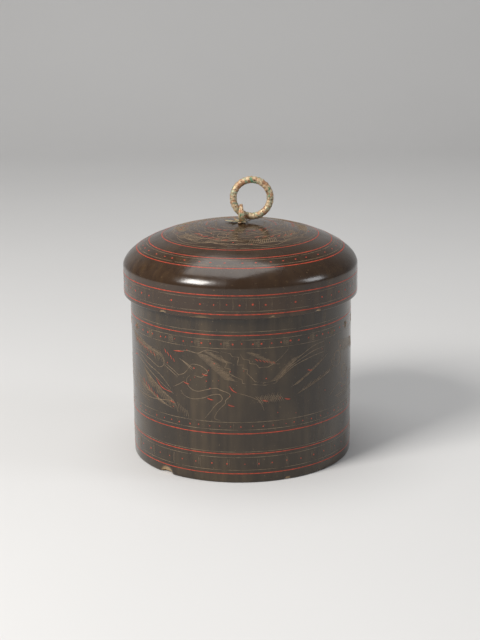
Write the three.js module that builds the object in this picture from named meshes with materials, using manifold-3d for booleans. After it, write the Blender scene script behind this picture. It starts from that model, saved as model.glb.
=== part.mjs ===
// A round lacquered wooden box with a deep domed lid and a cast ring on a split pin.
// Millimetres, +Z up, origin at the centre of the foot.
import * as THREE from "three";
import { mergeVertices } from "three/addons/utils/BufferGeometryUtils.js";
import Module from "manifold-3d";

const wasm = await Module();
wasm.setup();

// Shared fits
const SEAT_GAP = 0.3;
const ROUND_SEGMENTS = 56;
const PEG_SEGMENTS = 10;
const CUTTER_OVERRUN = 1;

// Body: a bentwood hoop with a turned floor let into its foot
const BODY_OUTER_RADIUS = 52;
const BODY_WALL = 3;
const BODY_HEIGHT = 90;
const FLOOR_THICKNESS = 5;
const FLOOR_REBATE = 1.5;

// Lid: a bentwood skirt with a turned dome let into its top
const LID_RUNNING_CLEARANCE = 0.4;
const LID_WALL = 2.6;
const LID_OVERLAP = 12.6;
const LIP_HEIGHT = 3.5;
const LIP_REBATE = 0.8;
const DOME_SPRING_ABOVE_RIM = 1;
const DOME_RISE = 19;
const DOME_FULLNESS = 1.75;
const DOME_STEPS = 10;
const CROWN_THICKNESS = 3.2;
const CROWN_SHOULDER_WIDTH = 6.5;
const CROWN_SHOULDER_HEIGHT = 3;

// Wooden pegs
const FLOOR_PEG = { count: 6, radius: 1, length: 5.7, endInset: 0.3 };
const CROWN_PEG = { count: 6, radius: 0.7, length: 4.2, endInset: 0.8, aboveRim: 1.9 };
const BODY_SEAM_PEG = { count: 3, radius: 0.8, length: 1.6, firstZ: 25, step: 22 };
const LID_SEAM_PEG = { count: 2, radius: 0.8, length: 1.4, aboveEdge: 3.2, step: 5.6 };
const PEG_END_INSET = 0.1;
const SEAM_ANGLE = Math.PI / 2;

// Bronze fittings on the dome
const PIN_X = 0.5;
const PIN_WIDTH = 1.6;
const PIN_THICKNESS = 0.9;
const EYE_BORE_RADIUS = 3.25;
const EYE_ABOVE_APEX = 4.25;
const LEG_OFFSET = 0.75;
const LEG_REACH = 8;
const LEG_DROOP = 0.25;
const LEG_BEND_RADIUS = 1.2;
const NECK_ANGLE = THREE.MathUtils.degToRad(25);
const PIN_HOLE_RADIUS = 1.9;
const PLATE_THICKNESS = 0.5;
const PLATE_LIFT = 0.05;
const PLATE_WAIST_RADIUS = 3.4;
const PLATE_HOLE_RADIUS = 2.4;
const LEAF_LENGTHS = [4.4, 7, 7, 7];
const LEAF_SHOULDER_SHARE = 0.62;
const BLUNT_LEAF_SHOULDER_SHARE = 0.9;
const LEAF_SHOULDER_ANGLE = THREE.MathUtils.degToRad(20);
const RING_CENTRE_LINE_RADIUS = 8.6;
const RING_WIRE_RADIUS = 1.75;
const RING_OFFSET_X = 5;

// Places worked out from the sizes above
const bodyInnerRadius = BODY_OUTER_RADIUS - BODY_WALL;
const rebateRadius = bodyInnerRadius + FLOOR_REBATE;
const lidInnerRadius = BODY_OUTER_RADIUS + LID_RUNNING_CLEARANCE;
const lidOuterRadius = lidInnerRadius + LID_WALL;
const lidEdgeZ = BODY_HEIGHT - LID_OVERLAP;
const lipInnerRadius = lidInnerRadius + LIP_REBATE;
const lipTopZ = BODY_HEIGHT + LIP_HEIGHT;
const domeSpringZ = BODY_HEIGHT + DOME_SPRING_ABOVE_RIM;
const apexZ = domeSpringZ + DOME_RISE;
const crownInnerRadius = lidOuterRadius - CROWN_SHOULDER_WIDTH;
const crownInnerSpringZ = BODY_HEIGHT + CROWN_SHOULDER_HEIGHT;
const crownInnerApexZ = apexZ - CROWN_THICKNESS;
const crownInnerRise = crownInnerApexZ - crownInnerSpringZ;
const eyeRadius = EYE_BORE_RADIUS + PIN_THICKNESS / 2;
const eyeZ = apexZ + EYE_ABOVE_APEX;
const ringDrop = Math.sqrt(RING_CENTRE_LINE_RADIUS ** 2 - RING_OFFSET_X ** 2);

// Finishes
const lacquer = { color: 0x3a2c1c, roughness: 0.25, metalness: 0 };
const bareWood = { color: 0x9a7a50, roughness: 0.8, metalness: 0 };
const bronze = { color: 0x8c7448, roughness: 0.5, metalness: 0.8 };

const part = new THREE.Group();

function addPiece(name, geometry, finish) {
  const mesh = new THREE.Mesh(geometry, new THREE.MeshStandardMaterial(finish));
  mesh.name = name;
  part.add(mesh);
}

// Joins and cuts
function toSolid(geometry) {
  const bare = geometry.clone();
  bare.deleteAttribute("normal");
  bare.deleteAttribute("uv");
  const merged = mergeVertices(bare, 1e-5);
  const mesh = new wasm.Mesh({
    numProp: 3,
    vertProperties: new Float32Array(merged.attributes.position.array),
    triVerts: new Uint32Array(merged.index.array),
  });
  return new wasm.Manifold(mesh);
}

function toGeometry(solid) {
  const mesh = solid.getMesh();
  const geometry = new THREE.BufferGeometry();
  geometry.setAttribute("position", new THREE.BufferAttribute(mesh.vertProperties, 3));
  geometry.setIndex(new THREE.BufferAttribute(mesh.triVerts, 1));
  geometry.computeVertexNormals();
  return geometry;
}

function cut(geometry, cutters) {
  let solid = toSolid(geometry);
  for (const cutter of cutters) {
    solid = solid.subtract(toSolid(cutter));
  }
  return toGeometry(solid);
}

// Turned forms: a profile of [radius, height] pairs, up on the outside and down on the inside
function turned(profile) {
  const points = profile.map(([radius, z]) => new THREE.Vector2(radius, z));
  return new THREE.LatheGeometry(points, ROUND_SEGMENTS).rotateX(Math.PI / 2);
}

function domeZ(radius, rimRadius, springZ, rise) {
  const share = Math.max(0, 1 - (radius / rimRadius) ** 2);
  return springZ + rise * share ** (1 / DOME_FULLNESS);
}

function domeRadius(z) {
  const share = ((z - domeSpringZ) / DOME_RISE) ** DOME_FULLNESS;
  return lidOuterRadius * Math.sqrt(1 - share);
}

// Points of a dome from its rim, or from a smaller radius, up to the axis
function domePoints(rimRadius, springZ, rise, startRadius) {
  const startAngle = Math.asin(startRadius / rimRadius);
  const points = [];
  for (let step = 0; step < DOME_STEPS; step += 1) {
    const radius = rimRadius * Math.sin(startAngle * (1 - step / DOME_STEPS));
    points.push([radius, domeZ(radius, rimRadius, springZ, rise)]);
  }
  points.push([0, springZ + rise]);
  return points;
}

// A round bar that points outward from the axis at one height
function radialBar(radius, innerEnd, outerEnd, angle, z) {
  const bar = new THREE.CylinderGeometry(radius, radius, outerEnd - innerEnd, PEG_SEGMENTS);
  bar.rotateZ(-Math.PI / 2);
  bar.translate((innerEnd + outerEnd) / 2, 0, 0);
  bar.rotateZ(angle);
  bar.translate(0, 0, z);
  return bar;
}

// Pegs round the joint of a hoop and a disc, with the holes that they fill
function jointPegs(peg, hoopOuterRadius, z) {
  const outerEnd = hoopOuterRadius - peg.endInset;
  const innerEnd = outerEnd - peg.length;
  const pegs = [];
  const holes = [];
  for (let index = 0; index < peg.count; index += 1) {
    const angle = ((index + 0.5) * 2 * Math.PI) / peg.count;
    const holeRadius = peg.radius + SEAT_GAP;
    pegs.push(radialBar(peg.radius, innerEnd, outerEnd, angle, z));
    holes.push(
      radialBar(holeRadius, innerEnd - SEAT_GAP, hoopOuterRadius + CUTTER_OVERRUN, angle, z)
    );
  }
  return { pegs, holes };
}

// Pegs up the lap seam of a hoop, in blind holes that open on its inner face
function seamPegs(peg, hoopInnerRadius, firstZ) {
  const innerEnd = hoopInnerRadius + PEG_END_INSET;
  const outerEnd = innerEnd + peg.length;
  const pegs = [];
  const holes = [];
  for (let index = 0; index < peg.count; index += 1) {
    const z = firstZ + index * peg.step;
    const holeRadius = peg.radius + SEAT_GAP;
    const holeStart = hoopInnerRadius - CUTTER_OVERRUN;
    pegs.push(radialBar(peg.radius, innerEnd, outerEnd, SEAM_ANGLE, z));
    holes.push(radialBar(holeRadius, holeStart, outerEnd + SEAT_GAP, SEAM_ANGLE, z));
  }
  return { pegs, holes };
}

function addPegs(name, pegs) {
  pegs.forEach((peg, index) => addPiece(`${name}_${index + 1}`, peg, bareWood));
}

function buildBody() {
  const rebateTop = FLOOR_THICKNESS + SEAT_GAP;
  const hoop = turned([
    [rebateRadius, 0],
    [BODY_OUTER_RADIUS, 0],
    [BODY_OUTER_RADIUS, BODY_HEIGHT],
    [bodyInnerRadius, BODY_HEIGHT],
    [bodyInnerRadius, rebateTop],
    [rebateRadius, rebateTop],
    [rebateRadius, 0],
  ]);
  const floorRadius = rebateRadius - SEAT_GAP;
  const floor = turned([
    [0, 0],
    [floorRadius, 0],
    [floorRadius, FLOOR_THICKNESS],
    [0, FLOOR_THICKNESS],
  ]);
  const joint = jointPegs(FLOOR_PEG, BODY_OUTER_RADIUS, FLOOR_THICKNESS / 2);
  const seam = seamPegs(BODY_SEAM_PEG, bodyInnerRadius, BODY_SEAM_PEG.firstZ);
  addPiece("body_wall", cut(hoop, [...joint.holes, ...seam.holes]), lacquer);
  addPiece("body_floor", cut(floor, joint.holes), lacquer);
  addPegs("floor_peg", joint.pegs);
  addPegs("body_seam_peg", seam.pegs);
}

function buildLid() {
  const lip = [];
  const lipSteps = 3;
  for (let step = 0; step <= lipSteps; step += 1) {
    const z = THREE.MathUtils.lerp(domeSpringZ, lipTopZ, step / lipSteps);
    lip.push([domeRadius(z), z]);
  }
  const skirt = turned([
    [lidInnerRadius, lidEdgeZ],
    [lidOuterRadius, lidEdgeZ],
    ...lip,
    [lipInnerRadius, lipTopZ],
    [lipInnerRadius, BODY_HEIGHT],
    [lidInnerRadius, BODY_HEIGHT],
    [lidInnerRadius, lidEdgeZ],
  ]);
  const seatZ = BODY_HEIGHT + SEAT_GAP;
  const ledgeZ = lipTopZ + SEAT_GAP;
  const tongueRadius = lipInnerRadius - SEAT_GAP;
  const underside = domePoints(
    crownInnerRadius, crownInnerSpringZ, crownInnerRise, crownInnerRadius
  );
  const crown = turned([
    ...underside.reverse(),
    [crownInnerRadius, seatZ],
    [tongueRadius, seatZ],
    [tongueRadius, ledgeZ],
    ...domePoints(lidOuterRadius, domeSpringZ, DOME_RISE, domeRadius(ledgeZ)),
  ]);
  const joint = jointPegs(CROWN_PEG, lidOuterRadius, BODY_HEIGHT + CROWN_PEG.aboveRim);
  const seam = seamPegs(LID_SEAM_PEG, lidInnerRadius, lidEdgeZ + LID_SEAM_PEG.aboveEdge);
  const pinHoleHeight = CROWN_THICKNESS + 2 * CUTTER_OVERRUN;
  const pinHole = new THREE.CylinderGeometry(
    PIN_HOLE_RADIUS, PIN_HOLE_RADIUS, pinHoleHeight, 2 * PEG_SEGMENTS
  );
  pinHole.rotateX(Math.PI / 2);
  pinHole.translate(PIN_X, 0, apexZ - CROWN_THICKNESS / 2);
  addPiece("lid_skirt", cut(skirt, [...joint.holes, ...seam.holes]), lacquer);
  addPiece("lid_crown", cut(crown, [...joint.holes, pinHole]), lacquer);
  addPegs("crown_peg", joint.pegs);
  addPegs("lid_seam_peg", seam.pegs);
}

// Thin bronze washer cut as four leaves, one of them broken short
function buildLeafPlate() {
  const outline = new THREE.Shape();
  LEAF_LENGTHS.forEach((length, index) => {
    const middle = (index * Math.PI) / 2;
    const blunt = length < LEAF_LENGTHS[1];
    const shoulder = length * (blunt ? BLUNT_LEAF_SHOULDER_SHARE : LEAF_SHOULDER_SHARE);
    const corners = [
      [middle - Math.PI / 4, PLATE_WAIST_RADIUS],
      [middle - LEAF_SHOULDER_ANGLE, shoulder],
      [middle, length],
      [middle + LEAF_SHOULDER_ANGLE, shoulder],
    ];
    for (const [angle, radius] of corners) {
      const x = radius * Math.cos(angle);
      const y = radius * Math.sin(angle);
      if (index === 0 && angle === corners[0][0]) {
        outline.moveTo(x, y);
      } else {
        outline.lineTo(x, y);
      }
    }
  });
  const hole = new THREE.Path();
  hole.absarc(0, 0, PLATE_HOLE_RADIUS, 0, 2 * Math.PI, true);
  outline.holes.push(hole);
  const plate = new THREE.ExtrudeGeometry(outline, {
    depth: PLATE_THICKNESS,
    bevelEnabled: false,
    curveSegments: 16,
  });
  plate.translate(PIN_X, 0, apexZ + PLATE_LIFT);
  addPiece("leaf_plate", plate, bronze);
}

// Points of an arc in the plane of the pin, ends included
function arc(centreY, centreZ, radius, fromAngle, toAngle, steps) {
  const points = [];
  for (let step = 0; step <= steps; step += 1) {
    const angle = THREE.MathUtils.lerp(fromAngle, toAngle, step / steps);
    points.push(
      new THREE.Vector2(centreY + radius * Math.cos(angle), centreZ + radius * Math.sin(angle))
    );
  }
  return points;
}

// Centre line of the strap: one leg's tip, up through the dome, round the eye and down again
function pinCentreLine() {
  const legZ = crownInnerApexZ - SEAT_GAP - PIN_THICKNESS / 2;
  const turn = Math.PI / 2 - NECK_ANGLE;
  const eyeStartY = eyeRadius * Math.sin(NECK_ANGLE);
  const eyeStartZ = eyeZ - eyeRadius * Math.cos(NECK_ANGLE);
  const neckRadius = (eyeStartY - LEG_OFFSET) / (1 - Math.cos(turn));
  const neckZ = eyeStartZ - neckRadius * Math.sin(turn);
  const bendCentreY = LEG_OFFSET + LEG_BEND_RADIUS;
  const bendCentreZ = legZ + LEG_BEND_RADIUS;
  const half = [
    new THREE.Vector2(LEG_REACH, legZ - LEG_DROOP),
    ...arc(bendCentreY, bendCentreZ, LEG_BEND_RADIUS, 1.5 * Math.PI, Math.PI, 5),
    ...arc(LEG_OFFSET + neckRadius, neckZ, neckRadius, Math.PI, Math.PI - turn, 5),
    ...arc(0, eyeZ, eyeRadius, NECK_ANGLE - Math.PI / 2, Math.PI / 2, 14).slice(1),
  ];
  const otherHalf = half.slice(0, -1).reverse();
  return [...half, ...otherHalf.map((point) => new THREE.Vector2(-point.x, point.y))];
}

// The line moved sideways by a distance, square to its own direction
function offsetLine(line, distance) {
  return line.map((point, index) => {
    const before = line[Math.max(0, index - 1)];
    const after = line[Math.min(line.length - 1, index + 1)];
    const along = after.clone().sub(before).normalize();
    return new THREE.Vector2(point.x - along.y * distance, point.y + along.x * distance);
  });
}

function buildSplitPin() {
  const line = pinCentreLine();
  const oneSide = offsetLine(line, PIN_THICKNESS / 2);
  const otherSide = offsetLine(line, -PIN_THICKNESS / 2).reverse();
  const pin = new THREE.ExtrudeGeometry(new THREE.Shape([...oneSide, ...otherSide]), {
    depth: PIN_WIDTH,
    bevelEnabled: false,
  });
  pin.translate(0, 0, -PIN_WIDTH / 2);
  const upright = new THREE.Matrix4().makeBasis(
    new THREE.Vector3(0, 1, 0),
    new THREE.Vector3(0, 0, 1),
    new THREE.Vector3(1, 0, 0)
  );
  pin.applyMatrix4(upright);
  pin.translate(PIN_X, 0, 0);
  addPiece("split_pin", pin, bronze);
}

function buildRing() {
  const ring = new THREE.TorusGeometry(RING_CENTRE_LINE_RADIUS, RING_WIRE_RADIUS, 12, 40);
  ring.rotateX(Math.PI / 2);
  ring.translate(PIN_X + RING_OFFSET_X, 0, eyeZ + ringDrop);
  addPiece("pull_ring", ring, bronze);
}

buildBody();
buildLid();
buildLeafPlate();
buildSplitPin();
buildRing();

export default part;
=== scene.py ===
"""A round lacquered box with a domed lid, painted borders and a cast ring on a split pin."""
import logging
import math
import random
from dataclasses import dataclass, field
from enum import Enum

import bpy
from mathutils import Matrix, Vector


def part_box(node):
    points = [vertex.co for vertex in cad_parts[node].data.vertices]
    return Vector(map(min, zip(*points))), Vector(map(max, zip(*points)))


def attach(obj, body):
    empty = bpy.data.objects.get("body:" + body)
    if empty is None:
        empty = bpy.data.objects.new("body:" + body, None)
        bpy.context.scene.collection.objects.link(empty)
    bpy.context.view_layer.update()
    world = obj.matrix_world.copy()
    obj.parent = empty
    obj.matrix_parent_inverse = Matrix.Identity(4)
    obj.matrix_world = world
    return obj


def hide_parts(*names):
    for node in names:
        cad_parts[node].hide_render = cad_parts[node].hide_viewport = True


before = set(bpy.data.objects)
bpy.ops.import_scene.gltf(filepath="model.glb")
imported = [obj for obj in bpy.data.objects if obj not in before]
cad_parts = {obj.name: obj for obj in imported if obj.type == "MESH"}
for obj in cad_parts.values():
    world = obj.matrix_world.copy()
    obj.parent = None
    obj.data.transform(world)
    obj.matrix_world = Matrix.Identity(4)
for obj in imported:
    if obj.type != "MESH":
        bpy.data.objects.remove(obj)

MM = 0.001
FRONT = -math.pi / 2
LOG = logging.getLogger("box")
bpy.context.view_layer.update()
LID_GAP = 0.4
DOME_STEP = 1
PIN_X = 0.5

Point = tuple[float, float]
Colour = tuple[float, float, float, float]


class Pigment(Enum):
    """Colours of the painted and incised ornament, as linear values."""

    VERMILION = (0.50, 0.050, 0.016, 1.0)
    TAN = (0.25, 0.175, 0.105, 1.0)


def warp(angle: float, height: float) -> float:
    """Slow unevenness of the hand-laid lacquer.

    Args:
        angle: Angle round the axis, in radians.
        height: Height above the foot, in millimetres.

    Returns:
        Outward shift of the surface, in millimetres.
    """
    slow = 0.07 * math.sin(3 * angle + 0.05 * height) + 0.05 * math.sin(5 * angle - 0.09 * height)
    return slow + 0.02 * math.sin(11 * angle + 0.21 * height)


def link_mesh(name: str, points: list[Vector], faces: list[tuple[int, ...]],
              finish: bpy.types.Material, body: str) -> bpy.types.Object:
    """Make a smooth mesh object that rides on a body.

    Args:
        name: Name of the piece.
        points: Vertices in metres.
        faces: Vertex indices of each face.
        finish: Material of the piece.
        body: Body that the piece moves with.

    Returns:
        The new object.
    """
    mesh = bpy.data.meshes.new(name)
    mesh.from_pydata(points, [], faces)
    mesh.materials.append(finish)
    mesh.validate()
    for polygon in mesh.polygons:
        polygon.use_smooth = True
    piece = bpy.data.objects.new(name, mesh)
    bpy.context.scene.collection.objects.link(piece)
    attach(piece, body)
    LOG.info("%s: %d faces", name, len(faces))
    return piece


class Nodes:
    """Short way to build a node material."""

    def __init__(self, name: str) -> None:
        """Start a material that holds a Principled shader."""
        self.material = bpy.data.materials.new(name)
        self.material.use_nodes = True
        self.tree = self.material.node_tree
        self.shader = self.tree.nodes["Principled BSDF"]
        self.place = self.add("ShaderNodeTexCoord").outputs["Object"]

    def add(self, kind: str, **values: object) -> bpy.types.Node:
        """Add a node and set its properties."""
        node = self.tree.nodes.new(kind)
        for key, value in values.items():
            setattr(node, key, value)
        return node

    def join(self, output: bpy.types.NodeSocket, socket: bpy.types.NodeSocket) -> None:
        """Link an output to a socket."""
        self.tree.links.new(output, socket)

    def noise(self, scale: float, stretch: tuple[float, float, float] = (1, 1, 1),
              detail: float = 4.0) -> bpy.types.NodeSocket:
        """Noise over the piece.

        Args:
            scale: Noise cells per metre.
            stretch: Scale of each axis.
            detail: Octaves of the noise.

        Returns:
            The noise value.
        """
        mapping = self.add("ShaderNodeMapping")
        mapping.inputs["Scale"].default_value = stretch
        self.join(self.place, mapping.inputs["Vector"])
        texture = self.add("ShaderNodeTexNoise")
        texture.inputs["Scale"].default_value = scale
        texture.inputs["Detail"].default_value = detail
        self.join(mapping.outputs["Vector"], texture.inputs["Vector"])
        return texture.outputs["Fac"]

    def band(self, value: bpy.types.NodeSocket, low: float, high: float,
             out_low: float = 0.0, out_high: float = 1.0) -> bpy.types.NodeSocket:
        """Map a stretch of a value to another stretch, clamped at both ends."""
        node = self.add("ShaderNodeMapRange")
        for key, number in zip(("From Min", "From Max", "To Min", "To Max"),
                               (low, high, out_low, out_high)):
            node.inputs[key].default_value = number
        self.join(value, node.inputs["Value"])
        return node.outputs["Result"]

    def blend(self, share: bpy.types.NodeSocket, first: object, second: object) -> bpy.types.NodeSocket:
        """Mix two colours, each a fixed colour or a socket."""
        node = self.add("ShaderNodeMix", data_type="RGBA")
        self.join(share, node.inputs[0])
        for socket, colour in ((node.inputs[6], first), (node.inputs[7], second)):
            if isinstance(colour, tuple):
                socket.default_value = colour
            else:
                self.join(colour, socket)
        return node.outputs[2]

    def bump(self, height: bpy.types.NodeSocket, strength: float, distance: float) -> None:
        """Roughen the shader's surface by a height."""
        node = self.add("ShaderNodeBump")
        node.inputs["Strength"].default_value = strength
        node.inputs["Distance"].default_value = distance
        self.join(height, node.inputs["Height"])
        self.join(node.outputs["Normal"], self.shader.inputs["Normal"])


@dataclass(frozen=True)
class LacquerFinish:
    """Glossy dark lacquer with faint streaks and a tan core where it is chipped."""

    name: str
    deep: Colour
    worn: Colour
    core: Colour = (0.33, 0.22, 0.11, 1.0)

    def build(self) -> bpy.types.Material:
        """Make the material."""
        nodes = Nodes(self.name)
        streaks = nodes.band(nodes.noise(260, (1, 1, 0.12)), 0.38, 0.68)
        clouds = nodes.band(nodes.noise(45, detail=6), 0.35, 0.7)
        base = nodes.blend(streaks, self.deep, self.worn)
        base = nodes.blend(clouds, base, self.deep)
        specks = nodes.band(nodes.noise(1500, detail=2), 0.70, 0.76, 0, 0.5)
        base = nodes.blend(specks, base, self.core)
        chip = nodes.add("ShaderNodeAttribute", attribute_name="chip").outputs["Fac"]
        base = nodes.blend(chip, base, self.core)
        nodes.join(base, nodes.shader.inputs["Base Color"])
        rough = nodes.band(nodes.noise(120, (1, 1, 0.3), 6), 0.3, 0.75, 0.13, 0.30)
        nodes.join(rough, nodes.shader.inputs["Roughness"])
        nodes.shader.inputs["Coat Weight"].default_value = 0.15
        nodes.shader.inputs["Coat Roughness"].default_value = 0.12
        nodes.bump(nodes.noise(420, (1, 1, 0.35), 5), 0.10, 0.0004)
        return nodes.material


@dataclass(frozen=True)
class PaintFinish:
    """Matt brushed or incised line, thin in places."""

    pigment: Pigment
    fade: float

    def build(self) -> bpy.types.Material:
        """Make the material."""
        nodes = Nodes(f"{self.pigment.name.lower()}_line")
        colour = self.pigment.value
        faded = tuple(channel * self.fade for channel in colour[:3]) + (1.0,)
        thin = nodes.band(nodes.noise(700, detail=5), 0.42, 0.62)
        nodes.join(nodes.blend(thin, colour, faded), nodes.shader.inputs["Base Color"])
        nodes.join(nodes.band(nodes.noise(500), 0.3, 0.7, 0.38, 0.6), nodes.shader.inputs["Roughness"])
        nodes.bump(nodes.noise(2600, detail=3), 0.3, 0.0001)
        return nodes.material


@dataclass(frozen=True)
class BronzeFinish:
    """Aged cast bronze: tan and gold metal, brown patches and green spots."""

    name: str = "aged_bronze"
    tan: Colour = (0.60, 0.46, 0.29, 1.0)
    pink: Colour = (0.42, 0.22, 0.12, 1.0)
    sage: Colour = (0.38, 0.40, 0.27, 1.0)
    brown: Colour = (0.10, 0.055, 0.03, 1.0)
    green: Colour = (0.09, 0.23, 0.12, 1.0)

    def build(self) -> bpy.types.Material:
        """Make the material."""
        nodes = Nodes(self.name)
        metal = nodes.blend(nodes.band(nodes.noise(420, detail=5), 0.44, 0.60), self.tan, self.pink)
        metal = nodes.blend(nodes.band(nodes.noise(520, (1, 1, 1.4), 4), 0.50, 0.62), metal, self.sage)
        metal = nodes.blend(nodes.band(nodes.noise(760, (1.2, 1, 1), 6), 0.57, 0.68), metal, self.brown)
        spots = nodes.band(nodes.noise(330, (1.3, 1, 0.8), 3), 0.62, 0.66)
        nodes.join(nodes.blend(spots, metal, self.green), nodes.shader.inputs["Base Color"])
        nodes.join(nodes.band(spots, 0, 1, 0.45, 0.05), nodes.shader.inputs["Metallic"])
        nodes.join(nodes.band(nodes.noise(600), 0.3, 0.7, 0.32, 0.6), nodes.shader.inputs["Roughness"])
        nodes.bump(nodes.noise(1500, detail=6), 0.8, 0.0005)
        return nodes.material


@dataclass(frozen=True)
class Nick:
    """A chip in a lower edge, with all sizes in millimetres."""

    along: float
    half_width: float
    height: float
    depth: float


@dataclass
class Wall:
    """An upright painted wall: a place along it and a height give a point."""

    radius: float

    def place(self, along: float, height: float, lift: float) -> Vector:
        """Point on the wall.

        Args:
            along: Distance round the wall from its front, in millimetres.
            height: Height above the foot, in millimetres.
            lift: Distance out from the surface, in millimetres.

        Returns:
            The point in metres.
        """
        angle = FRONT + along / self.radius
        reach = self.radius + warp(angle, height) + lift
        return Vector((reach * math.cos(angle), reach * math.sin(angle), height)) * MM


@dataclass
class Dome:
    """The lid's turned dome: a place round it and a distance from the axis give a point."""

    radius: float
    spring: float
    rise: float
    fullness: float = 1.75
    middle: float = 25.0

    def height(self, reach: float) -> float:
        """Height of the dome at a distance from the axis, in millimetres."""
        share = max(0.0, 1 - (reach / self.radius) ** 2)
        return self.spring + self.rise * share ** (1 / self.fullness)

    def place(self, along: float, reach: float, lift: float) -> Vector:
        """Point on the dome.

        Args:
            along: Distance round the dome at its middle radius, in millimetres.
            reach: Distance from the axis, in millimetres.
            lift: Distance up from the surface, in millimetres.

        Returns:
            The point in metres.
        """
        angle = FRONT + along / self.middle
        up = self.height(reach) + lift
        return Vector((reach * math.cos(angle), reach * math.sin(angle), up)) * MM


@dataclass
class Strokes:
    """Brush lines and dots gathered into one thin mesh on a surface."""

    surface: Wall | Dome
    seed: int
    points: list[Vector] = field(default_factory=list)
    faces: list[tuple[int, ...]] = field(default_factory=list)
    edge_lift: float = -0.03
    ridge_lift: float = 0.06

    def __post_init__(self) -> None:
        """Seed the hand's unevenness."""
        self.hand = random.Random(self.seed)

    def line(self, path: list[Point], width: float, closed: bool = False) -> None:
        """Draw a line of three points across, with tapered ends unless it is closed.

        Args:
            path: Places on the surface, in millimetres.
            width: Width of the brush, in millimetres.
            closed: Whether the last point joins the first.
        """
        first = len(self.points)
        count = len(path)
        for index, (along, up) in enumerate(path):
            before = path[index - 1] if index or closed else path[0]
            after = path[(index + 1) % count] if index + 1 < count or closed else path[-1]
            run = (after[0] - before[0], after[1] - before[1])
            if closed:
                run = (1.0, 0.0)
            length = math.hypot(*run) or 1.0
            taper = 1.0 if closed else min(1.0, 0.35 + 2.2 * min(index, count - 1 - index) / count)
            half = 0.5 * width * taper * self.hand.uniform(0.8, 1.15)
            side = (-run[1] / length * half, run[0] / length * half)
            self.points += [
                self.surface.place(along + side[0], up + side[1], self.edge_lift),
                self.surface.place(along, up, self.ridge_lift),
                self.surface.place(along - side[0], up - side[1], self.edge_lift),
            ]
        for index in range(count if closed else count - 1):
            here = first + 3 * index
            there = first + 3 * ((index + 1) % count)
            self.faces += [(here + 1, here, there, there + 1), (here + 2, here + 1, there + 1, there + 2)]

    def dot(self, along: float, up: float, radius: float) -> None:
        """Set one slightly uneven dot."""
        first = len(self.points)
        sides = 8
        for step in range(sides):
            angle = 2 * math.pi * step / sides
            reach = radius * self.hand.uniform(0.8, 1.15)
            place = (along + reach * math.cos(angle), up + reach * math.sin(angle))
            self.points.append(self.surface.place(*place, self.edge_lift))
        self.points.append(self.surface.place(along, up, 1.6 * self.ridge_lift))
        self.faces += [(first + step, first + (step + 1) % sides, first + sides) for step in range(sides)]

    def ring(self, up: float, width: float, length: float, gaps: float = 0.0) -> None:
        """Draw a line all the way round.

        Args:
            up: Height or distance from the axis, in millimetres.
            width: Width of the line, in millimetres.
            length: Distance round the surface, in millimetres.
            gaps: Share of the line that is worn away.
        """
        steps = 180
        if not gaps:
            self.line([(length * step / steps, up) for step in range(steps)], width, closed=True)
            return
        start = 0
        while start < steps:
            run = self.hand.randint(5, 16)
            stop = min(steps, start + run)
            self.line([(length * step / steps, up) for step in range(start, stop + 1)], width)
            start = stop + (1 if self.hand.random() < gaps * 6 else 0)

    def dots(self, up: float, radius: float, length: float, count: int) -> None:
        """Set a row of dots all the way round."""
        for index in range(count):
            along = length * (index + self.hand.uniform(-0.16, 0.16)) / count
            self.dot(along, up + self.hand.uniform(-0.2, 0.2), radius * self.hand.uniform(0.7, 1.2))

    def curve(self, knots: list[Point], width: float, steps: int = 6) -> None:
        """Draw a smooth line through a few places."""
        padded = [knots[0], *knots, knots[-1]]
        path = []
        for index in range(1, len(padded) - 2):
            p0, p1, p2, p3 = padded[index - 1:index + 3]
            for step in range(steps):
                t = step / steps
                path.append(tuple(
                    0.5 * (2 * b + (c - a) * t + (2 * a - 5 * b + 4 * c - d) * t * t
                           + (3 * b - a - 3 * c + d) * t ** 3)
                    for a, b, c, d in zip(p0, p1, p2, p3)))
        path.append(knots[-1])
        self.line(path, width)

    def curl(self, centre: Point, radius: float, start: float, turns: float, width: float) -> None:
        """Draw a cloud curl that winds inward from its start angle."""
        steps = max(8, int(abs(turns) * 16))
        path = []
        for step in range(steps + 1):
            share = step / steps
            angle = start + 2 * math.pi * turns * share
            reach = radius * (1 - 0.72 * share)
            path.append((centre[0] + reach * math.cos(angle), centre[1] + reach * math.sin(angle)))
        self.line(path, width)

    def hatch(self, start: Point, end: Point, count: int, stroke: Point, width: float) -> None:
        """Draw like strokes side by side from one place to another."""
        for index in range(count):
            share = index / max(1, count - 1)
            along = start[0] + (end[0] - start[0]) * share
            up = start[1] + (end[1] - start[1]) * share
            jitter = self.hand.uniform(0.8, 1.15)
            bow = (along + 0.55 * stroke[0] * jitter, up + 0.4 * stroke[1] * jitter)
            self.curve([(along, up), bow, (along + stroke[0] * jitter, up + stroke[1] * jitter)], width, 3)

    def build(self, name: str, finish: bpy.types.Material, body: str) -> bpy.types.Object:
        """Make the mesh."""
        return link_mesh(name, self.points, self.faces, finish, body)


def softened(profile: list[Point], cut: float, steps: int = 4) -> list[Point]:
    """Round every inner corner of a profile.

    Args:
        profile: Corners as radius and height, in millimetres.
        cut: Distance from a corner at which its rounding starts.
        steps: Points on each rounding.

    Returns:
        The rounded profile.
    """
    made = [profile[0]]
    for before, corner, after in zip(profile, profile[1:], profile[2:]):
        ends = []
        for other in (before, after):
            span = math.dist(corner, other)
            share = min(cut, 0.45 * span) / span
            ends.append([c + (o - c) * share for c, o in zip(corner, other)])
        for step in range(steps + 1):
            t = step / steps
            made.append(tuple((1 - t) ** 2 * a + 2 * t * (1 - t) * c + t * t * b
                              for a, c, b in zip(ends[0], corner, ends[1])))
    made.append(profile[-1])
    return made


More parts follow.
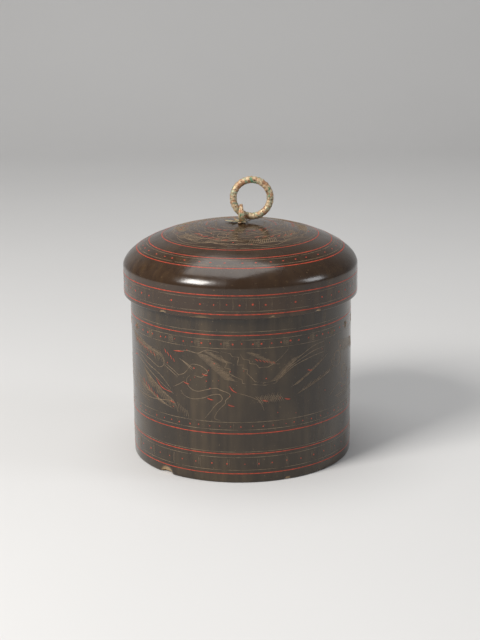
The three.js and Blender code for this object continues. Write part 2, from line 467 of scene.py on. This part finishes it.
def dense(profile: list[Point], longest: float) -> list[Point]:
    """Divide the long stretches of a profile."""
    made = [profile[0]]
    for start, end in zip(profile, profile[1:]):
        parts = max(1, math.ceil(math.dist(start, end) / longest))
        made += [tuple(a + (b - a) * part / parts for a, b in zip(start, end)) for part in range(1, parts + 1)]
    return made


def turned_shell(name: str, profile: list[Point], outer: float, nicks: list[Nick], edge: float,
                 finish: bpy.types.Material, body: str, segments: int = 320) -> bpy.types.Object:
    """Turn a profile into a lacquered shell, warped and nicked at its lower edge.

    Args:
        name: Name of the piece.
        profile: Radius and height, in millimetres, from the axis out, up and back to the axis.
        outer: Radius of the outer wall.
        nicks: Chips in the lower edge.
        edge: Height of the lower edge.
        finish: Lacquer.
        body: Body that the shell moves with.
        segments: Steps round the axis.

    Returns:
        The shell.
    """
    points, chips, faces = [], [], []
    for reach, height in profile:
        for step in range(segments):
            angle = 2 * math.pi * step / segments
            along = outer * (math.remainder(angle - FRONT, 2 * math.pi))
            on_wall = max(0.0, 1 - abs(outer - reach) / 2)
            radius = reach + on_wall * warp(angle, height)
            lifted, chip = height, 0.0
            for nick in nicks:
                away = math.hypot((along - nick.along) / nick.half_width, (height - edge) / nick.height)
                if away < 1 and outer - reach < 2.2:
                    bite = min(1.0, 2.2 * (1 - away))
                    radius -= nick.depth * bite
                    lifted += 0.25 * nick.height * bite * (1 - (height - edge) / nick.height)
                    chip = max(chip, min(1.0, 1.6 * bite))
            points.append(Vector((radius * math.cos(angle), radius * math.sin(angle), lifted)) * MM)
            chips.append(chip)
    for row in range(len(profile) - 1):
        for step in range(segments):
            here, there = row * segments + step, row * segments + (step + 1) % segments
            faces.append((here, there, there + segments, here + segments))
    shell = link_mesh(name, points, faces, finish, body)
    attribute = shell.data.attributes.new("chip", "FLOAT", "POINT")
    attribute.data.foreach_set("value", chips)
    return shell


@dataclass
class BoxBody:
    """The hoop and floor of the box, with its painted borders and frieze."""

    radius: float
    height: float
    wall: float = 3.0
    floor: float = 5.0
    tip: float = 0.05
    red_heights: tuple[float, ...] = (69.3, 23.5, 13.9, 4.4)
    tan_heights: tuple[float, ...] = (70.9, 67.2, 63.2, 28.9, 25.3, 14.8, 12.2)
    dot_rows: tuple[tuple[float, float, int], ...] = ((65.4, 0.5, 72), (26.9, 0.42, 66), (9.1, 0.45, 46))
    nicks: tuple[Nick, ...] = (Nick(-38.5, 4.0, 3.6, 0.9), Nick(21.0, 1.6, 1.1, 0.3), Nick(88.0, 2.4, 1.6, 0.4))

    def build(self, lacquer: bpy.types.Material, red: bpy.types.Material, tan: bpy.types.Material) -> None:
        """Make the shell and its ornament."""
        inner = self.radius - self.wall
        corners = [(self.tip, 0), (self.radius, 0), (self.radius, self.height), (inner, self.height),
                   (inner, self.floor), (self.tip, self.floor)]
        profile = dense(softened(corners, 0.7), 0.9)
        shell = turned_shell("body_lacquer", profile, self.radius, list(self.nicks), 0, lacquer, "box")
        names = [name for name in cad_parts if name.startswith(("body_", "floor_peg"))]
        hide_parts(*names)
        around = 2 * math.pi * self.radius
        reds, tans = Strokes(Wall(self.radius), 3), Strokes(Wall(self.radius), 5)
        for height in self.red_heights:
            reds.ring(height, 0.58, around)
        for height in self.tan_heights:
            tans.ring(height, 0.27, around, gaps=0.05)
        tans.ring(6.1, 0.26, around, gaps=0.16)
        for row, radius, count in self.dot_rows:
            reds.dots(row, radius, around, count)
        for index in range(24):
            along = around * (index + 0.5) / 24
            tans.hatch((along - 1.1, 66.8), (along + 1.1, 66.8), 6, (0.1, -3.0), 0.16)
            tans.hatch((along, 66.6), (along, 64.0), 4, (1.9, 0.1), 0.14)
            tans.line([(along + 3, 25.8), (along + 3, 28.4)], 0.16)
            tans.hatch((along, 11.6), (along + 0.7, 11.6), 2, (0.1, -4.6), 0.14)
        for half in range(2):
            self.frieze(reds, tans, half * around / 2)
        reds.build("body_red_ornament", red, "box")
        tans.build("body_tan_ornament", tan, "box")

    def frieze(self, red: Strokes, tan: Strokes, shift: float) -> None:
        """Draw one half of the frieze: plumes, a striding beast and stepped clouds.

        Args:
            red: Vermilion strokes.
            tan: Incised strokes.
            shift: Place of the panel's middle, in millimetres round the wall.
        """
        def at(*places: Point) -> list[Point]:
            """Places of the panel moved round the wall."""
            return [(shift + along, up) for along, up in places]

        line, fine = 0.34, 0.2
        # Plume and looping tail
        tan.curve(at((-72, 62), (-60, 61.5), (-50, 59), (-39, 56.5)), fine)
        tan.hatch(*at((-66, 62.4), (-41, 58)), 22, (3.6, -4.6), fine)
        tan.hatch(*at((-62, 60), (-44, 56)), 16, (4.6, 1.6), fine)
        tan.curve(at((-74, 52), (-59, 54.5), (-49, 53), (-42, 50.6), (-38.5, 52.6), (-40, 56), (-49, 59)), line)
        tan.curve(at((-38.5, 52.4), (-34.6, 50.4), (-30.6, 48)), line)
        tan.curve(at((-37.4, 53.2), (-33.6, 51.2), (-29.6, 48.8)), line)
        tan.curve(at((-57.5, 53.3), (-49, 50), (-41, 47), (-34.5, 41.6)), line)
        tan.curve(at((-65, 50.8), (-62, 52), (-56, 50.4), (-47, 46.6), (-41, 43.6), (-33, 39.6)), line)
        red.curve(at((-65, 50.9), (-62.5, 52), (-59, 51.4)), 0.5)
        red.curve(at((-44, 44.6), (-40, 41.2), (-34, 40)), 0.5)
        # Lower plume
        for row in range(4):
            quill = at((-78, 48 - 3 * row), (-66, 45 - 3 * row), (-56, 41 - 2.4 * row), (-50, 36 - 1.2 * row))
            tan.curve(quill, fine)
        tan.hatch(*at((-54, 48), (-34, 37)), 26, (4.2, -6.4), fine)
        tan.hatch(*at((-58, 40), (-42, 34)), 14, (8.5, -1.6), fine)
        tan.curve(at((-60, 35), (-48, 34.4), (-38, 35.6), (-33, 36.4)), line)
        # Striding beast
        tan.curve(at((-29.5, 56.9), (-26, 55.2), (-22, 52.8)), line)
        tan.curve(at((-28, 56.2), (-25, 54.0), (-22.6, 52.0)), line)
        tan.curve(at((-25.2, 52.2), (-23, 54.8), (-19.4, 54.8), (-16.5, 53.3), (-15.4, 51.8), (-17, 50.7),
                     (-18, 49.4), (-20, 49.4), (-22, 50.1)), line)
        red.dot(shift - 21.9, 53.2, 0.42)
        red.curve(at((-18.0, 50.9), (-16.6, 50.4), (-15.4, 50.5)), 0.6)
        tan.curve(at((-25.3, 52), (-27.3, 50), (-30.4, 48.8)), line)
        tan.curve(at((-24, 49.6), (-25.8, 47.5), (-25.2, 44.9), (-23, 43.1), (-20, 42.6), (-15.8, 43.8),
                     (-11.7, 44.7),
                     (-8.9, 43.7), (-5.9, 42.6), (-5.2, 41.3), (-7.2, 39.3), (-7.5, 37.7), (-10.6, 34.4),
                     (-12.4, 30.6), (-9.6, 29.6)), line)
        tan.curve(at((-29, 42), (-27, 39.8), (-23, 38.7), (-18, 39.6), (-13.7, 41.4), (-10.3, 41.9), (-8.9, 40.6),
                     (-9.2, 39), (-11.7, 37), (-14.4, 33.4), (-17, 30.2)), line)
        tan.curve(at((-33, 43), (-30, 44.6), (-27, 46.6)), line)
        tan.hatch(*at((-31, 36), (-26, 33)), 6, (1.0, -3.6), fine)
        # Wing
        tan.curve(at((-31.5, 60.2), (-25, 61), (-20, 60.4), (-15.5, 62.2), (-10, 61.4)), line)
        tan.hatch(*at((-21, 60.4), (-8, 49)), 30, (6.4, -0.9), fine)
        tan.hatch(*at((-18, 61.6), (-9, 57)), 12, (5.0, -0.6), fine)
        red.curve(at((-32.5, 60.0), (-29.5, 60.2), (-27, 60.4)), 0.6)
        # Stepped clouds
        tan.line(at((-12, 60.3), (-9, 59.7), (-7.6, 57.4), (-6.5, 56.4), (-7.6, 54.4), (-5, 53.8), (-5.6, 51.8),
                    (-3.3, 50.5), (0.2, 48.9), (0.4, 47.2), (6, 46.5), (10.5, 46), (15.4, 46.6), (18.1, 49.2),
                    (21, 53)), line)
        tan.line(at((-9, 61.8), (-5, 61), (-4.2, 59.7), (-1.2, 59.4), (-1.6, 57.4), (-1.9, 55.8), (0.9, 55.8),
                    (0.5, 54.1), (2.8, 53.5), (2.4, 51.8), (4.4, 49.8), (6, 47.9), (10.5, 47.2), (15, 48)), line)
        tan.line(at((-0.5, 60.7), (0.9, 58.4), (3.4, 58), (3.7, 56.4), (6.5, 56), (7.9, 54.3), (12, 54.4),
                    (14.8, 55.9), (18.1, 58.3), (21.5, 61.8)), line)
        tan.hatch(*at((2, 61.4), (13, 55.6)), 16, (4.2, -0.3), fine)
        tan.hatch(*at((13, 47.6), (23, 57)), 20, (4.4, 0.9), fine)
        red.hatch(*at((6, 58.4), (14, 56.6)), 6, (1.4, -1.2), 0.34)
        for step in range(3):
            tan.curve(at((15.4 + 1.4 * step, 47 + step), (21 + 1.6 * step, 53.4), (33.5, 60.6 - 2.2 * step),
                         (42, 62 - 2.4 * step)), line)
        tan.hatch(*at((23, 44), (38, 53)), 18, (6.0, 2.4), fine)
        tan.hatch(*at((26, 40), (44, 46)), 16, (5.0, 3.4), fine)
        # Mound and its hatching
        tan.hatch(*at((6, 41), (17, 41)), 13, (2.4, -3.4), fine)
        tan.hatch(*at((7, 38), (16, 38)), 11, (2.2, 3.8), fine)
        tan.curve(at((-2.2, 42.8), (3, 41.2), (8, 38.6), (10, 34)), fine)
        red.curve(at((-5.5, 46), (-4.2, 44), (-2.2, 42.8)), 0.55)
        # Far plumes and curls, beyond the beast's side
        tan.curl((shift + 52, 52), 5.0, math.pi, 1.4, line)
        tan.curl((shift + 60, 44), 4.4, 0, -1.4, line)
        tan.curve(at((46, 35), (54, 39), (62, 36), (70, 41), (80, 38)), line)
        tan.hatch(*at((52, 60), (72, 57)), 18, (3.4, -5.6), fine)
        tan.hatch(*at((50, 34), (68, 36)), 14, (4.6, -2.6), fine)
        # Vermilion touches
        red.hatch(*at((-38, 60), (-33, 56.4)), 4, (1.0, -2.0), 0.45)
        red.hatch(*at((-62, 60), (-46, 56.6)), 7, (1.6, -1.2), 0.42)
        red.hatch(*at((-55, 42), (-44, 37)), 6, (1.3, -2.0), 0.42)
        flecks = ((-14.4, 39.3), (-4.9, 36.7), (10.5, 38.6), (21, 38.4), (-26, 45.6), (-34, 35.6), (33, 50))
        for along, up in flecks:
            red.curve(at((along - 1.3, up + 0.5), (along, up), (along + 1.5, up - 0.2)), 0.6)
        for _ in range(34):
            red.dot(shift + red.hand.uniform(-80, 80), red.hand.uniform(31, 61.5), red.hand.uniform(0.2, 0.4))


@dataclass
class BoxLid:
    """The skirt and dome of the lid, with their painted borders and clouds."""

    radius: float
    edge: float
    spring: float
    apex: float
    inner: float
    rim: float = 90.3
    shoulder: float = 48.5
    shell: float = 3.2
    tip: float = 2.0
    skirt_reds: tuple[float, ...] = (88.2, 79.6)
    dome_reds: tuple[float, ...] = (48.6, 42.8, 36.7)
    nicks: tuple[Nick, ...] = (Nick(-38.0, 1.6, 1.5, 0.5), Nick(14.0, 1.3, 1.2, 0.5), Nick(37.0, 1.2, 1.2, 0.5),
                               Nick(-18.0, 6.0, 0.7, 0.25))

    def build(self, lacquer: bpy.types.Material, red: bpy.types.Material, tan: bpy.types.Material) -> None:
        """Make the shell and its ornament."""
        dome = Dome(self.radius, self.spring, self.apex - self.spring)
        under = Dome(self.shoulder, self.rim + 2.7, self.apex - self.shell - self.rim - 2.7)
        steps = 46
        reaches = [self.radius * math.sin(0.5 * math.pi * (1 - step / steps)) for step in range(steps)]
        outside = [(reach, dome.height(reach)) for reach in reaches if reach > self.tip]
        reaches = [self.shoulder * math.sin(0.5 * math.pi * step / steps) for step in range(steps + 1)]
        inside = [(reach, under.height(reach)) for reach in reaches if reach > self.tip]
        corners = [inside[-1], (self.shoulder, self.rim), (self.inner, self.rim), (self.inner, self.edge),
                   (self.radius, self.edge), outside[0]]
        profile = [(self.tip, self.apex - self.shell), *inside[:-1], *dense(softened(corners, 0.6), 0.9),
                   *outside[1:], (self.tip, self.apex), (self.tip, self.apex - self.shell)]
        shell = turned_shell("lid_lacquer", profile, self.radius, list(self.nicks), self.edge, lacquer, "lid")
        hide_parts(*[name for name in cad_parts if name.startswith(("lid_", "crown_peg"))])
        self.paint_skirt(red, tan)
        self.paint_dome(dome, red, tan)

    def paint_skirt(self, red: bpy.types.Material, tan: bpy.types.Material) -> None:
        """Draw the skirt's lines, dots and lattice."""
        around = 2 * math.pi * self.radius
        reds, tans = Strokes(Wall(self.radius), 7), Strokes(Wall(self.radius), 11)
        for height in self.skirt_reds:
            reds.ring(height, 0.6, around)
        for height in (86.9, 81.0):
            tans.ring(height, 0.22, around, gaps=0.08)
        panels, wide = 6, around / 12
        for panel in range(panels):
            start = around * panel / panels - 0.42 * wide
            for step in range(5):
                along = start + wide * step / 5
                reds.dot(along, 84 + reds.hand.uniform(-0.25, 0.25), reds.hand.uniform(0.4, 0.62))
                tans.line([(along + 2.8, 81.3), (along + 2.9, 84), (along + 2.8, 86.6)], 0.14)
            for step in range(2):
                along = start - wide * (0.25 + 0.5 * step) + 1
                reds.dot(along, 84 + reds.hand.uniform(-0.25, 0.25), 0.55)
                for half in (0.27, 0.40):
                    reach = half * wide
                    tans.line([(along - reach, 84), (along, 86.7), (along + reach, 84), (along, 81.2),
                               (along - reach, 84)], 0.16)
        reds.build("lid_skirt_red_ornament", red, "lid")
        tans.build("lid_skirt_tan_ornament", tan, "lid")

    def paint_dome(self, dome: Dome, red: bpy.types.Material, tan: bpy.types.Material) -> None:
        """Draw the dome's circles, dots, clouds and dashes."""
        around = 2 * math.pi * dome.middle
        reds, tans = Strokes(dome, 13), Strokes(dome, 17)
        for reach in self.dome_reds:
            reds.ring(reach, 0.5, around)
        for reach in (47.4, 44.0, 35.3):
            tans.ring(reach, 0.24, around, gaps=0.05)
        for index in range(44):
            along = around * (index + reds.hand.uniform(-0.2, 0.2)) / 44
            reds.line([(along - 0.28, 45.7), (along, 45.75), (along + 0.28, 45.7)], 0.8)
        for row in range(7):
            count = 30 + 5 * row
            for index in range(count):
                along = around * (index + tans.hand.uniform(-0.3, 0.3)) / count
                reach = 12 + 3.2 * row + tans.hand.uniform(-0.8, 0.8)
                run = tans.hand.uniform(1.6, 3.4)
                tans.curve([(along - run, reach - 0.5), (along, reach + 0.4), (along + run, reach - 0.3)], 0.24, 3)
        for index in range(5):
            middle = around * (index + 0.5) / 5
            tans.curl((middle - 5, 27), 4.4, 0, 1.4, 0.34)
            tans.curl((middle + 6, 23), 4.0, math.pi, -1.4, 0.34)
            tans.curve([(middle - 12, 18), (middle - 4, 21), (middle + 4, 18), (middle + 12, 21)], 0.34)
            tans.curve([(middle - 13, 32), (middle - 4, 34), (middle + 5, 31), (middle + 13, 34)], 0.34)
            tans.hatch((middle - 13, 31), (middle - 2, 31.5), 14, (1.6, -4.4), 0.22)
            tans.hatch((middle + 2, 31), (middle + 13, 29), 13, (1.6, -4.4), 0.22)
            reds.hatch((middle - 9, 25), (middle + 8, 28), 6, (2.6, -0.8), 0.5)
            reds.hatch((middle - 12, 17), (middle + 8, 16), 5, (3.4, -0.6), 0.5)
            for _ in range(5):
                reds.dot(middle + reds.hand.uniform(-15, 15), reds.hand.uniform(12, 34), 0.4)
        reds.build("dome_red_ornament", red, "lid")
        tans.build("dome_tan_ornament", tan, "lid")


@dataclass
class CastRing:
    """The cast ring: a knobbly bronze wire bent into a circle."""

    centre: Vector
    radius: float
    wire: float
    knobs: int = 31
    depth: float = 0.09
    steps: int = 180
    sides: int = 24

    def build(self, bronze: bpy.types.Material) -> None:
        """Make the ring."""
        points, faces = [], []
        for step in range(self.steps):
            turn = 2 * math.pi * step / self.steps
            out = Vector((math.cos(turn), 0, math.sin(turn)))
            swell = 1 - self.depth * (0.5 + 0.5 * math.sin(self.knobs * turn + 1.2 * math.sin(4 * turn)))
            for side in range(self.sides):
                angle = 2 * math.pi * side / self.sides
                lump = 1 - 0.08 * (0.5 + 0.5 * math.sin(9 * turn + 3 * angle) * math.sin(23 * turn + 2 * angle))
                reach = self.wire * swell * lump
                across = self.radius + reach * math.cos(angle)
                points.append(self.centre + out * across + Vector((0, reach * math.sin(angle), 0)))
                here = step * self.sides + side
                beside = step * self.sides + (side + 1) % self.sides
                ahead = self.steps * self.sides
                faces.append((here, beside, (beside + self.sides) % ahead, (here + self.sides) % ahead))
        ring = link_mesh("cast_ring", points, faces, bronze, "ring")
        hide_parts("pull_ring")


@dataclass
class PinAndLeaves:
    """The split pin's hammered strap and the torn leaves of its washer."""

    x: float
    apex: float
    eye_lift: float = 4.25
    bore: float = 3.25
    strap: float = 0.9
    leg: float = 0.75
    neck: float = 25.0
    reach: float = 8.0
    shell: float = 3.2
    sides: int = 14
    leaves: tuple[tuple[float, float, float], ...] = (
        (172, 7.6, 1.5), (190, 6.6, 1.4), (214, 5.6, 1.3), (262, 6.2, 1.5), (296, 5.0, 1.2), (348, 4.6, 0.6),
        (90, 6.8, 1.6), (52, 4.6, 1.1), (128, 5.6, 1.3))

    def build(self, bronze: bpy.types.Material) -> None:
        """Make the strap and the leaves."""
        self.build_strap(bronze)
        self.build_leaves(bronze)

    def half_line(self) -> list[Point]:
        """Middle of the strap from a leg's tip to the top of the eye, as distance back and height."""
        middle = self.bore + self.strap / 2
        eye = self.apex + self.eye_lift
        turn = math.radians(90 - self.neck)
        foot = (middle * math.sin(math.radians(self.neck)), eye - middle * math.cos(math.radians(self.neck)))
        bend = (foot[0] - self.leg) / (1 - math.cos(turn))
        low = self.apex - self.shell - 0.3 - self.strap / 2
        line = [(self.reach, low - 0.25), (self.leg + 1.2, low)]
        line += [(self.leg + 1.2 * (1 - math.sin(a)), low + 1.2 * (1 - math.cos(a)))
                 for a in (math.pi / 2 * step / 6 for step in range(1, 7))]
        line += [(self.leg + bend * (1 - math.cos(turn * step / 6)), foot[1] - bend * (math.sin(turn)
                  - math.sin(turn * step / 6))) for step in range(7)]
        line += [(middle * math.sin(a), eye - middle * math.cos(a))
                 for a in (math.radians(self.neck + (180 - self.neck) * step / 24) for step in range(1, 25))]
        return line

    def build_strap(self, bronze: bpy.types.Material) -> None:
        """Sweep the strap along both halves of its line."""
        half = self.half_line()
        line = half + [(-across, up) for across, up in half[-2::-1]]
        points, faces = [], []
        for index, (across, up) in enumerate(line):
            before, after = line[max(0, index - 1)], line[min(len(line) - 1, index + 1)]
            run = Vector((0, after[0] - before[0], after[1] - before[1])).normalized()
            out = Vector((0, -run.z, run.y))
            above = max(0.0, min(1.0, (up - self.apex) / 1.5))
            front = 1.0 if across < -1 else 0.35
            broad = above * front * max(0.0, 1 - abs(up - self.apex - 3.2) / 4.2)
            width = 0.8 + 0.95 * broad + 0.06 * math.sin(2.3 * index)
            thick = self.strap / 2 * (1 + 0.5 * broad)
            for side in range(self.sides):
                angle = 2 * math.pi * side / self.sides
                cos, sin = math.cos(angle), math.sin(angle)
                lean = Vector((0.35 * broad, 0, 0))
                offset = Vector((width * math.copysign(abs(cos) ** 0.6, cos), 0, 0))
                offset += out * (thick * math.copysign(abs(sin) ** 0.6, sin))
                points.append((Vector((self.x, across, up)) + lean + offset) * MM)
                if index + 1 < len(line):
                    here, beside = index * self.sides + side, index * self.sides + (side + 1) % self.sides
                    faces.append((beside, here, here + self.sides, beside + self.sides))
        last = (len(line) - 1) * self.sides
        faces += [tuple(range(self.sides)), tuple(last + side for side in reversed(range(self.sides)))]
        strap = link_mesh("hammered_pin", points, faces, bronze, "lid")
        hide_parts("split_pin")

    def build_leaves(self, bronze: bpy.types.Material) -> None:
        """Make thin curling leaves that meet round the strap."""
        points, faces = [], []
        rows = 9
        for order, (heading, length, half) in enumerate(self.leaves):
            along = Vector((math.cos(math.radians(heading)), math.sin(math.radians(heading)), 0))
            across = Vector((-along.y, along.x, 0))
            first = len(points)
            for row in range(rows):
                share = row / (rows - 1)
                width = half * (1 - share) ** 0.7 * (0.75 + 0.9 * share) + 0.04
                curl = 0.5 * share * share * (1 + order % 3) * 0.5
                centre = Vector((self.x, 0, self.apex + 0.3 + curl)) + along * (1.5 + (length - 1.5) * share)
                for side, lift in ((-1, 0.0), (0, 0.22), (1, 0.0), (0, -0.16)):
                    points.append((centre + across * (side * width) + Vector((0, 0, lift))) * MM)
                if row:
                    for side in range(4):
                        low, high = first + 4 * (row - 1), first + 4 * row
                        faces.append((low + side, low + (side + 1) % 4, high + (side + 1) % 4, high + side))
            faces += [tuple(range(first + 3, first - 1, -1)), tuple(range(first + 4 * rows - 4, first + 4 * rows))]
        leaves = link_mesh("torn_leaves", points, faces, bronze, "lid")
        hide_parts("leaf_plate")


@dataclass
class Studio:
    """Plain pale floor, soft light and the camera of the photograph."""

    distance: float = 0.6888
    eye_height: float = 0.2494
    pitch: float = 15.19
    roll: float = -0.56
    lens: float = 84.4
    shift: float = -0.0017

    def build(self) -> None:
        """Make the floor, lamps, world and camera."""
        scene = bpy.context.scene
        scene.view_settings.view_transform = "Standard"
        self.floor()
        self.lamp("softbox", (-0.72, -0.62, 0.80), 0.42, 15, (1.0, 0.97, 0.93))
        self.lamp("fill", (1.0, -0.25, 0.5), 0.35, 2.5, (0.93, 0.96, 1.0))
        self.lamp("top", (-0.15, 0.1, 1.3), 0.9, 7, (1.0, 0.99, 0.97))
        world = bpy.data.worlds.new("room")
        world.use_nodes = True
        world.node_tree.nodes["Background"].inputs["Color"].default_value = (0.62, 0.62, 0.63, 1)
        world.node_tree.nodes["Background"].inputs["Strength"].default_value = 0.3
        scene.world = world
        data = bpy.data.cameras.new("camera")
        data.lens, data.sensor_width, data.shift_x = self.lens, 36, self.shift
        camera = bpy.data.objects.new("camera", data)
        scene.collection.objects.link(camera)
        turn = Matrix.Rotation(math.radians(90 - self.pitch), 4, "X")
        turn = turn @ Matrix.Rotation(math.radians(self.roll), 4, "Z")
        camera.matrix_world = Matrix.Translation((0, -self.distance, self.eye_height)) @ turn
        scene.camera = camera

    def floor(self) -> None:
        """Make the floor and backdrop as one curved sheet."""
        profile = [(-1.5, 0), (0.9, 0)]
        bend = 0.5
        profile += [(0.9 + bend * math.sin(a), bend - bend * math.cos(a))
                    for a in (math.pi / 2 * step / 16 for step in range(1, 17))]
        profile.append((0.9 + bend, 2.2))
        points = [Vector((x, y, z)) for y, z in profile for x in (-2.5, 2.5)]
        faces = [(2 * i, 2 * i + 1, 2 * i + 3, 2 * i + 2) for i in range(len(profile) - 1)]
        nodes = Nodes("pale_floor")
        tone = nodes.blend(nodes.noise(3), (0.60, 0.60, 0.60, 1), (0.66, 0.66, 0.66, 1))
        nodes.join(tone, nodes.shader.inputs["Base Color"])
        nodes.shader.inputs["Roughness"].default_value = 0.8
        mesh = bpy.data.meshes.new("floor")
        mesh.from_pydata(points, [], faces)
        mesh.materials.append(nodes.material)
        for polygon in mesh.polygons:
            polygon.use_smooth = True
        sheet = bpy.data.objects.new("floor", mesh)
        bpy.context.scene.collection.objects.link(sheet)

    def lamp(self, name: str, place: tuple[float, float, float], size: float, power: float,
             colour: tuple[float, float, float]) -> None:
        """Hang one soft lamp that looks at the box."""
        data = bpy.data.lights.new(name, "AREA")
        data.size, data.energy, data.color = size, power, colour
        lamp = bpy.data.objects.new(name, data)
        lamp.location = place
        lamp.rotation_euler = (Vector((0, 0, 0.06)) - Vector(place)).to_track_quat("-Z", "Y").to_euler()
        bpy.context.scene.collection.objects.link(lamp)


def main() -> None:
    """Build the box, its fittings and the studio."""
    logging.basicConfig(level=logging.INFO)
    wall_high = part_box("body_wall")[1]
    skirt_low, skirt_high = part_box("lid_skirt")
    crown_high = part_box("lid_crown")[1]
    ring_low, ring_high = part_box("pull_ring")
    body_lacquer = LacquerFinish("body_lacquer", (0.024, 0.016, 0.009, 1), (0.066, 0.044, 0.022, 1)).build()
    lid_lacquer = LacquerFinish("lid_lacquer", (0.030, 0.0155, 0.0075, 1), (0.056, 0.031, 0.014, 1)).build()
    red = PaintFinish(Pigment.VERMILION, 0.6).build()
    tan = PaintFinish(Pigment.TAN, 0.6).build()
    bronze = BronzeFinish().build()
    radius = wall_high.x / MM
    BoxBody(radius, wall_high.z / MM).build(body_lacquer, red, tan)
    BoxLid(skirt_high.x / MM, skirt_low.z / MM, wall_high.z / MM + DOME_STEP, crown_high.z / MM,
           radius + LID_GAP).build(lid_lacquer, red, tan)
    wire = (ring_high.y - ring_low.y) / 2
    CastRing((ring_low + ring_high) / 2, (ring_high.z - ring_low.z) / 2 - wire, wire).build(bronze)
    PinAndLeaves(PIN_X, crown_high.z / MM).build(bronze)
    Studio().build()


if __name__ == "__main__":
    main()
